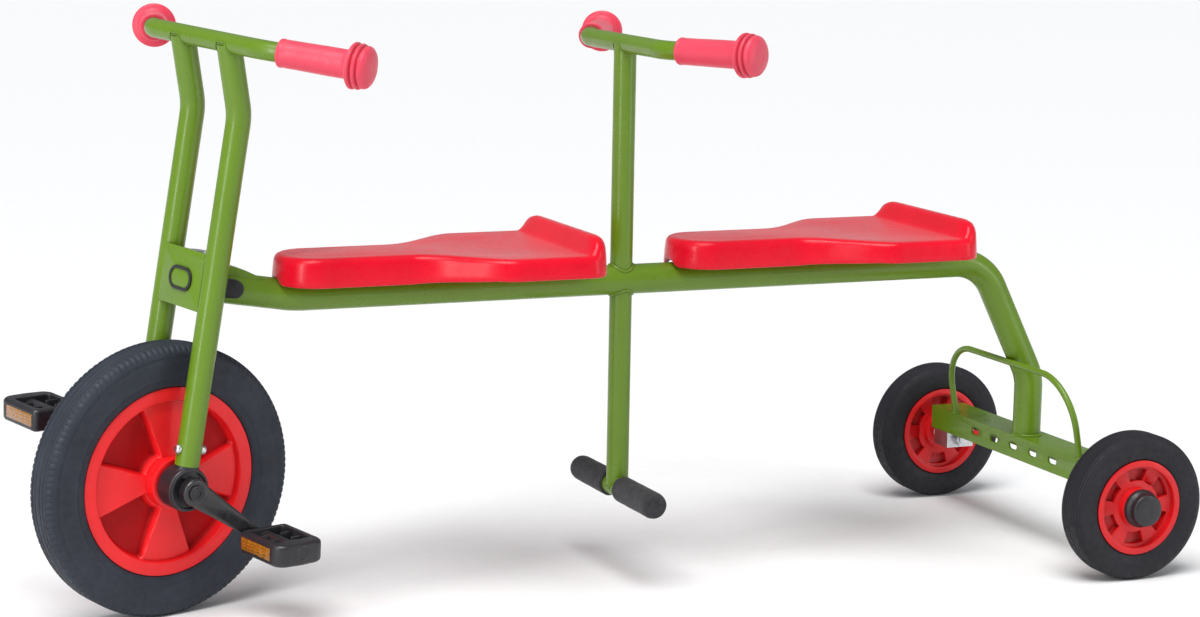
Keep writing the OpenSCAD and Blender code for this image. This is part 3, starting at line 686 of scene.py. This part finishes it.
def front_rim():
    """Moulded rim: flanged drum, four raised wedges with drafted sides, sunken fields between them."""
    hub_r, inner, ring_r, rim_r = 29.0, 33.0, 93.5, 109.5
    radii = [29.4, 30.0, 31.0, 32.0, 33.0, 34.0, 35.0] + [36 + 2.0 * k for k in range(26)]
    radii += [87.5, 88.5, 89.5, 90.5, 91.5, 92.3, 93.0]

    def face(a, r):
        off = abs((a + math.pi / 4) % (math.pi / 2) - math.pi / 4)
        edge = (math.radians(20.5) - off) * r
        wedge = smooth((edge + 2.2) / 4.4)
        floor = 3.4 + 10.6 * (1 - smooth((r - inner + 2.5) / 5)) + 6.6 * smooth((r - 89) / 5)
        top = 16.5 - 4.0 * (r - inner) / (ring_r - inner)
        return floor + (max(top, floor) - floor) * wedge

    def profile(a):
        half = [(8.6, 0.001), (8.6, 29.1), (9.0, 29.5), (27.6, 29.5), (28.6, 29.1), (hub_r, 28.2),
                (hub_r, 21.0)]
        half += [(r, face(a, r)) for r in radii]
        half += [(ring_r, 16.6), (ring_r + 0.2, 17.8), (ring_r + 0.8, 18.4), (ring_r + 1.8, 18.7),
                 (100.5, 18.7), (rim_r - 1.3, 18.7), (rim_r - 0.4, 18.4), (rim_r, 17.6),
                 (rim_r, 14.8), (rim_r - 0.4, 14.3), (104.3, 14.2), (104.1, 14.0), (104.1, 0.001)]
        return both_sides(half)

    bm = bmesh.new()
    polar(bm, profile, 512)
    as_piece("front_rim_moulding", bm, WHEEL @ ALONG_Y, "front_wheel", "wheel_red", ("front_rim",), 44)


def hub_cap(name, side):
    """Black cap with a stepped foot and a faintly domed face."""
    lathe(f"hub_cap_{name}_turned", [(0, 35), (0, 38.7), (9, 38.6), (15.4, 38.2, 2), (19.6, 36.8, 3),
          (20.2, 30), (20.8, 28.6), (22.2, 26.4, 2), (23.4, 24.4), (23.5, 20.1), (15, 20.1), (15, 35)],
          rear_wheel_frame(name, side), f"{name}_rear_wheel", "black_plastic", (f"hub_cap_{name}",))


# ---- Cranks and pedals ----

CRANK_LENGTH = 112
PEDAL_IN = 70.5  # from the wheel's middle plane to the pedal's inner end


def crank(name, side):
    """Forged arm: a round boss, tapering to the pedal's eye."""
    m = crank_frame(name, side)
    sections = [(4, 14.6, 1.2), (12, 14.5, 0.9), (20, 13.9, 0.6), (32, 12.7, 0.3), (46, 11.5, 0.2),
                (60, 10.7, 0.1), (76, 9.8, 0.1), (90, 9.0, 0.1), (100, 8.5, 0.1), (106, 8.2, 0.1)]
    bm = bmesh.new()
    rings = []
    for x, half, swell in sections:
        ring = []
        for k in range(32):
            a = TAU * k / 32
            c, s = math.cos(a), math.sin(a)
            z = half * math.copysign(abs(c) ** 0.62, c)
            y = (3.3 + swell / 2) * math.copysign(abs(s) ** 0.62, s)
            ring.append((x, 66.1 + swell / 2 + y, z))
        rings.append(ring)
    grid = quad_grid(bm, rings, close_around=False)
    bm.faces.new(grid[0])
    bm.faces.new(list(reversed(grid[-1])))
    ends = ((0, [(8.6, 62.7), (15.7, 62.7), (16, 72.6, 1.5), (14.6, 75.3), (8.6, 75.3)]),
            (CRANK_LENGTH, [(5.1, 62.7), (8.8, 62.7), (9, 69.3), (5.1, 69.3)]))
    for x, outline in ends:
        turned(bm, rounded(outline, 1.0), 64, lambda c, s, h: (x + c, h, s))
    as_piece(f"crank_{name}_arm", bm, m, "front_wheel", "black_steel", (f"crank_{name}",))


def crank_caps():
    """Domed bolt covers with a ring groove and a round socket."""
    bm = bmesh.new()
    cover = rounded([(0, 75.55), (9.4, 75.55), (9.4, 77.9), (8.2, 78.8), (7.0, 78.8), (6.7, 78.3),
                     (6.1, 78.3), (5.8, 78.9), (4.2, 79.0), (4.0, 77.1), (0, 77.1)], 0.3)
    for _, side in SIDES:
        turned(bm, cover, 60, lambda c, s, h: (c, side * h, s))
    as_piece("crank_bolt_covers", bm, WHEEL, "front_wheel", "black_plastic", ("crank_bolts",))


def offset_plan(points, k):
    """A closed plan moved inward by k along its normals."""
    out = []
    n = len(points)
    for i, (x, y) in enumerate(points):
        (x0, y0), (x1, y1) = points[i - 1], points[(i + 1) % n]
        d = Vector((x1 - x0, y1 - y0)).normalized()
        out.append((x - d.y * k, y + d.x * k))
    return out


def band(bm, outer, inner, z0, z1, outer_edge, inner_edge):
    """A flat band between two closed plans with the same number of points, its rims rounded."""
    rings = []
    for plan, sign, edge in ((outer, 1, outer_edge), (inner, -1, inner_edge)):
        low, high = [], []
        for k in range(6):
            t = math.pi / 2 * k / 5
            shape = offset_plan(plan, sign * edge * (1 - math.sin(t)))
            rise = edge * (1 - math.cos(t))
            low.append([(x, y, z0 + rise) for x, y in shape])
            high.append([(x, y, z1 - rise) for x, y in shape])
        rings += low + high[::-1] if sign > 0 else high + low[::-1]
    quad_grid(bm, rings)


def resample(points, count):
    """count points, evenly spaced round a closed plan, from its first point."""
    n = len(points)
    lengths = [math.dist(points[i], points[(i + 1) % n]) for i in range(n)]
    total = sum(lengths)
    out, i, done = [], 0, 0.0
    for k in range(count):
        want = total * k / count
        while done + lengths[i] < want and i < n - 1:
            done += lengths[i]
            i += 1
        t = (want - done) / lengths[i] if lengths[i] else 0
        a, b = points[i], points[(i + 1) % n]
        out.append((a[0] + (b[0] - a[0]) * t, a[1] + (b[1] - a[1]) * t))
    return out


def block(bm, lo, hi, edge=0.8, pull=0.0):
    """A box with rounded edges, its top pulled in by pull."""
    (x0, y0, z0), (x1, y1, z1) = lo, hi
    plan = rounded([(x0, y0), (x1, y0), (x1, y1), (x0, y1)], edge * 1.6, 3)
    cx, cy = (x0 + x1) / 2, (y0 + y1) / 2
    rings = []
    for k, z, p in ((edge, z0, 0), (edge * 0.3, z0 + edge * 0.3, 0), (0, z0 + edge, 0),
                    (0, z1 - edge, pull), (edge * 0.3, z1 - edge * 0.3, pull), (edge, z1, pull)):
        fx, fy = 1 - (k + p) / ((x1 - x0) / 2), 1 - (k + p) / ((y1 - y0) / 2)
        rings.append([(cx + (x - cx) * fx, cy + (y - cy) * fy, z) for x, y in plan])
    grid = quad_grid(bm, rings, close_around=False)
    bm.faces.new(list(reversed(grid[0])))
    bm.faces.new(grid[-1])


def pedal(name, side):
    """Moulded pedal: a cage round one window, with a spindle barrel and four ribs across it."""
    corner = [(x, y, 0) for x, y in arc(16.9, 66.9, 15, 0, 90, 12)]
    outline = [(-27.5, 0), (27.5, 0), (31.9, 4)] + corner + [(0, 83.4, 0)]
    outline += [(-x, y, r) for x, y, r in reversed(corner)] + [(-31.9, 4)]
    window = rounded([(-22.5, 8), (22.5, 8), (22.5, 63), (-22.5, 63)], 5, 4)
    start = window.index(min(window, key=lambda p: (p[0], p[1])))
    window = window[start:] + window[:start]
    outer = resample(rounded(outline, 3, 3), 160)
    inner = resample(window, 160)
    first = min(range(160), key=lambda i: math.dist(outer[i], (-27.5, 0)))
    outer = outer[first:] + outer[:first]
    near = min(range(160), key=lambda i: math.dist(inner[i], (-19, 8)))
    inner = inner[near:] + inner[:near]
    bm = bmesh.new()
    outer = [(x, y + PEDAL_IN) for x, y in outer]
    inner = [(x, y + PEDAL_IN) for x, y in inner]
    band(bm, outer, inner, -13, 13, 4.8, 1.6)
    barrel = rounded([(5.1, 2), (9.6, 2), (9.6, 70), (5.1, 70)], 0.8)
    turned(bm, barrel, 48, lambda c, s, h: (c, h + PEDAL_IN, s))
    for y in (25 + PEDAL_IN, 46 + PEDAL_IN):
        for x in (-1, 1):
            block(bm, (min(8 * x, 23 * x), y - 1.6, -10.5), (max(8 * x, 23 * x), y + 1.6, 10.5))
    as_piece(f"pedal_{name}_cage", bm, pedal_frame(name, side), f"{name}_pedal", "black_plastic",
             (f"pedal_{name}",))


def pedal_trim(name, side):
    """The two reflectors and the dust cap."""
    m = pedal_frame(name, side)
    bm = bmesh.new()
    for x in (-1, 1):
        block(bm, (min(29.2 * x, 32.3 * x), PEDAL_IN + 6.2, -7.3),
              (max(29.2 * x, 32.3 * x), PEDAL_IN + 63.8, 7.3), 0.7)
    as_piece(f"reflector_{name}_pair", bm, m, f"{name}_pedal", "reflector", (f"pedal_reflectors_{name}",))
    lathe(f"pedal_cap_{name}_turned", [(0, 79.1), (8.4, 79.1), (8.4, 82.9), (7.4, 83.8), (5.2, 83.8),
          (4.8, 83.1), (0, 83.1)], m @ shift(0, PEDAL_IN, 0) @ ALONG_Y, f"{name}_pedal", "black_plastic",
          (f"pedal_cap_{name}",), 0.4, 48)


# ---- Grips, sleeves and housings ----

LEG_Y = 47.5
BAR_REACH = 27.4
BAR_RISE = 499.4
BAR_HALF = 110
BAR_SWEEP = 32
GRIP_START = 23.5
LEG_BOLT_Z = 44


def grip(node, bar_frame, side, body):
    """Ringed hand grip: a plain barrel, three rings and a domed end."""
    profile = [(11.1, 0.3), (14.6, 0), (15.8, 1.0), (16.0, 3.2), (15.5, 4.4), (15.6, 28), (16.0, 54),
               (16.0, 77), (16.6, 80.8), (19.5, 83.4), (24.0, 84.6), (25.6, 86.2), (25.6, 88.4),
               (24.2, 89.6), (20.6, 90.2), (20.4, 91.8), (24.3, 92.4), (25.2, 94.4), (24.4, 96.2),
               (20.2, 96.8), (20.0, 98.4), (22.9, 99.0), (23.6, 100.6), (22.6, 103.6), (19.6, 106.2),
               (14.6, 108.1), (8.0, 108.9), (0, 109.0), (0, 84.9), (11.1, 84.9)]
    swept = shift(0, BAR_HALF, 0) @ Matrix.Rotation(math.radians(BAR_SWEEP), 4, "Z")
    place = bar_frame @ mirrored(side) @ swept @ shift(0, GRIP_START, 0) @ ALONG_Y
    lathe(node + "_moulding", profile, place, body, "grip_coral", (node,), 0.5, 96)


def grips():
    post = middle("rear_handlebar")
    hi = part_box("rear_handlebar")[1]
    rear = Matrix.Translation((hi.x - 0.011, 0, post.z))
    front = FORK @ shift(BAR_REACH, 0, BAR_RISE)
    for name, side in SIDES:
        grip(f"rear_grip_{name}", rear, side, "frame")
        grip(f"front_grip_{name}", front, side, "fork")


def foam_sleeve(name, side):
    """Foam sleeve, a little lumpy, with a soft closed end."""
    centre = middle("footrest_bar")
    m = Matrix.Translation(centre) @ mirrored(side) @ shift(0, 17, 0) @ ALONG_Y
    line = rounded([(12.6, 0.2), (15.0, 0.2, 1), (16.3, 2.5, 2), (16.4, 50, 0), (16.4, 90, 4),
                    (15.0, 96.2, 4), (9, 97.8, 3), (0, 97.9, 0), (0, 95.2, 0), (12.6, 95.2, 0)], 1, 5)
    fine = []
    for i, p in enumerate(line):
        q = line[(i + 1) % len(line)]
        steps = max(1, round(math.dist(p, q) / 2.0))
        fine += [(p[0] + (q[0] - p[0]) * k / steps, p[1] + (q[1] - p[1]) * k / steps)
                 for k in range(steps)]

    def profile(a):
        out = []
        for r, z in fine:
            if r > 13:
                v = Vector((r * math.cos(a) * 0.09, r * math.sin(a) * 0.09, z * 0.05 + 7 * side))
                r -= 0.35 * (1 + noise.noise(v)) + 0.12 * (1 + noise.noise(v * 5))
            out.append((r, z))
        return out

    bm = bmesh.new()
    polar(bm, profile, 72)
    as_piece(f"foam_{name}", bm, m, "frame", "foam", (f"footrest_sleeve_{name}",), 60)


def bearing_housing(name, side):
    """Black moulding: a turned drum with a flared neck that the leg stands on."""
    bm = bmesh.new()
    drum = rounded([(11, 31.1), (23.6, 31.1, 2), (25.4, 33.5, 2), (25.5, 45), (25.5, 57.0, 1),
                    (24.4, 58.7), (24.2, 61.4, 1), (21.2, 61.4), (21, 58.6), (11, 58.6)], 0.7)
    neck = rounded([(0, 4), (20.5, 14), (17.0, 19.5, 3), (14.6, 22.6, 3), (14.0, 25.9), (0, 25.9)], 0.6)
    for profile, widest, turn in ((drum, 99, ALONG_Y), (neck, 13.8, shift(0, LEG_Y, 0))):
        before = set(bm.verts)
        rings = []
        for k in range(96):
            a = TAU * k / 96
            rings.append([(r * math.cos(a), min(r, widest) * math.sin(a), z) for r, z in profile])
        quad_grid(bm, rings)
        new = [v for v in bm.verts if v not in before]
        spin = turn.copy()
        spin.translation = turn.translation / MM
        bmesh.ops.transform(bm, matrix=spin, verts=new)
    as_piece(f"housing_{name}_moulding", bm, FORK @ mirrored(side), "fork", "black_plastic",
             (f"bearing_housing_{name}",))


def leg_bolts():
    """Cross bolts at the leg ends: a domed head in front and a nut behind."""
    bm = bmesh.new()
    for _, side in SIDES:
        for end, tip in ((1, 19.2), (-1, 21.2)):
            dome = rounded([(0, 13.4), (5.6, 13.4), (5.7, tip - 3.6), (5.2, tip - 1.8, 2),
                            (3.2, tip - 0.3, 2), (0, tip)], 0.3)
            turned(bm, dome, 40, lambda c, s, h: (end * h, side * LEG_Y + c, LEG_BOLT_Z + s))
    as_piece("leg_bolt_heads", bm, FORK, "fork", "zinc", ("housing_bolts",))


# ---- Welds ----


def ring_on_plane(centre, radius, count=72):
    return [centre + Vector((math.cos(TAU * k / count), math.sin(TAU * k / count), 0)) * radius
            for k in range(count)]


def post_on_tube(cx, axis_z, tube_r, post_r, sign, count=96):
    """Where an upright round post meets a tube that runs along X, below (-1) or above (+1) it."""
    out = []
    for k in range(count):
        a = TAU * k / count
        x, y = post_r * math.cos(a), post_r * math.sin(a)
        out.append(Vector((cx + x, y, axis_z + sign * math.sqrt(max(0.0, tube_r ** 2 - y * y)))))
    return out


def bar_on_post(cx, cz, bar_r, post_r, cy=0.0, sign=-1, count=72):
    """Where a post ends below (-1) or above (+1) a thinner bar that runs along Y."""
    half = []
    for k in range(count + 1):
        a = math.pi * (k / count - 0.5)
        x = bar_r * math.sin(a)
        half.append((x, math.sqrt(post_r ** 2 - x * x), sign * bar_r * math.cos(a)))
    near = [Vector((cx + x, cy + y, cz + z)) for x, y, z in half]
    far = [Vector((cx + x, cy - y, cz + z)) for x, y, z in reversed(half)]
    return near + far


def frame_welds():
    bm = bmesh.new()
    mm = 1 / MM
    post = middle("handlebar_post") * mm
    tube_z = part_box("rear_leg_tube")[1].z * mm - 18.05
    bar_z = middle("rear_handlebar").z * mm
    rest = middle("footrest_bar") * mm
    beam_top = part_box("axle_beam")[1].z * mm
    leg_x = middle("axle_beam").x * mm + 4
    hoop_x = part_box("guard_hoop")[0].x * mm + 4.2
    bead(bm, post_on_tube(post.x, tube_z, 18, 13.9, 1), 2.0)
    bead(bm, post_on_tube(post.x, tube_z, 18, 13.9, -1), 2.0)
    bead(bm, bar_on_post(post.x + 1, bar_z, 11.2, 13.6), 1.1)
    bead(bm, bar_on_post(rest.x, rest.z, 12.7, 13.7, 0, 1), 1.6)
    for side in (1, -1):
        foot = Vector((hoop_x, side * 151, beam_top + 0.4))
        bead(bm, ring_on_plane(foot, 4.3, 36), 1.3, 0.2)
    bead(bm, ring_on_plane(Vector((leg_x, 0, beam_top + 0.5)), 18.2), 2.2)
    as_piece("frame_weld_beads", bm, Matrix.Identity(4), "frame", "green_paint", (), 80)


def fork_welds():
    bm = bmesh.new()
    for side in (1, -1):
        bead(bm, bar_on_post(BAR_REACH, BAR_RISE, 11.2, 14.1, side * LEG_Y), 1.0)
    as_piece("fork_weld_beads", bm, FORK, "fork", "green_paint", (), 80)


def badge():
    """Oval plate with a black rim and a plain green field; it carries no mark."""
    plan = []
    for y, start in ((9, 0), (-9, 180)):
        plan += [(y + 13.4 * math.cos(math.radians(start - 90 + 6 * k)),
                  13.4 * math.sin(math.radians(start - 90 + 6 * k))) for k in range(31)]
    outer = resample(plan, 120)
    place = FORK @ shift(13, 0, 230) @ Matrix(((0, 0, 1), (1, 0, 0), (0, 1, 0))).to_4x4()
    bm = bmesh.new()
    band(bm, outer, offset_plan(outer, 3.6), 0.1, 2.6, 0.5, 0.5)
    as_piece("badge_rim", bm, place, "fork", "black_plastic", ("head_badge",))
    bm = bmesh.new()
    inner = offset_plan(outer, 3.2)
    rings = [[(x, y, 0.2) for x, y in inner], [(x, y, 1.3) for x, y in inner]]
    rings += [[(x * f, y * f, 1.3 + 0.8 * (1 - f * f)) for x, y in inner] for f in (0.9, 0.7, 0.4, 0.1)]
    grid = quad_grid(bm, rings, close_around=False)
    bm.faces.new(list(reversed(grid[0])))
    bm.faces.new(grid[-1])
    as_piece("badge_field", bm, place, "fork", "green_paint")


# ---- Stage ----


def floor():
    """A wide, plain, pale floor just under the tyres."""
    bm = bmesh.new()
    for x, y in ((-40, -40), (40, -40), (40, 40), (-40, 40)):
        bm.verts.new((x, y, 0))
    bm.faces.new(bm.verts)
    mesh = bpy.data.meshes.new("floor")
    bm.to_mesh(mesh)
    bm.free()
    obj = bpy.data.objects.new("floor", mesh)
    obj.location.z = CAD_BOX[0][2] - 0.0002
    bpy.context.scene.collection.objects.link(obj)
    s = Shader("floor_paper", 0.9)
    s.colour(s.noise(45, 3), (0.83, 0.83, 0.83), (0.85, 0.85, 0.85))
    mesh.materials.append(s.mat)


def light(name, at, target, size, power, colour=(1, 1, 1)):
    data = bpy.data.lights.new(name, "AREA")
    data.shape = "RECTANGLE"
    data.size, data.size_y = size
    data.energy = power
    data.color = colour
    obj = bpy.data.objects.new(name, data)
    aim = Vector(target) - Vector(at)
    obj.matrix_world = Matrix.Translation(at) @ aim.to_track_quat("-Z", "Y").to_matrix().to_4x4()
    bpy.context.scene.collection.objects.link(obj)


def sun(aim, power, spread):
    """A broad, soft light from far away."""
    data = bpy.data.lights.new("sun", "SUN")
    data.energy = power
    data.angle = math.radians(spread)
    obj = bpy.data.objects.new("sun", data)
    obj.matrix_world = Vector(aim).to_track_quat("-Z", "Y").to_matrix().to_4x4()
    bpy.context.scene.collection.objects.link(obj)


def studio():
    world = bpy.data.worlds.new("studio")
    world.use_nodes = True
    back = world.node_tree.nodes["Background"]
    back.inputs["Color"].default_value = (0.93, 0.95, 1.0, 1)
    back.inputs["Strength"].default_value = 0.33
    bpy.context.scene.world = world
    sun((-0.30, -0.35, -1.0), 3.0, 40)
    light("front_strip", (3.0, 1.5, 1.3), (0.2, 0, 0.4), (0.5, 2.4), 42)
    light("rear_strip", (-2.9, 2.4, 1.2), (-0.2, 0, 0.4), (0.4, 2.2), 22)
    bpy.context.scene.view_settings.view_transform = "Standard"


def camera():
    """The photograph's viewpoint: low, in front and to the riders' left."""
    data = bpy.data.cameras.new("camera")
    data.sensor_width = 36
    data.lens = 84.46
    data.clip_end = 60
    obj = bpy.data.objects.new("camera", data)
    yaw, pitch, roll = math.radians(23.50), math.radians(9.42), math.radians(1.01)
    ahead = Vector((-math.sin(yaw) * math.cos(pitch), -math.cos(yaw) * math.cos(pitch), -math.sin(pitch)))
    right = ahead.cross(UP).normalized()
    up = right.cross(ahead)
    right, up = right * math.cos(roll) + up * math.sin(roll), up * math.cos(roll) - right * math.sin(roll)
    obj.matrix_world = basis(Vector((1.3291, 3.0538, 0.8782)), right, up, -ahead)
    bpy.context.scene.collection.objects.link(obj)
    bpy.context.scene.camera = obj


# ---- Everything ----


def build():
    dress_frame()
    saddle("front_seat")
    saddle("rear_seat")
    front_tyre()
    front_rim()
    for name, side in SIDES:
        rear_tyre(name, side)
        softened(f"rear_rim_{name}", 0.9)
        hub_cap(name, side)
        crank(name, side)
        pedal(name, side)
        pedal_trim(name, side)
        foam_sleeve(name, side)
        bearing_housing(name, side)
    crank_caps()
    badge()
    grips()
    leg_bolts()
    frame_welds()
    fork_welds()
    for node, width in (("axle_beam", 1.2), ("head_bracket", 1.5), ("head_gusset", 1.2)):
        softened(node, width)
    floor()
    studio()
    camera()


build()
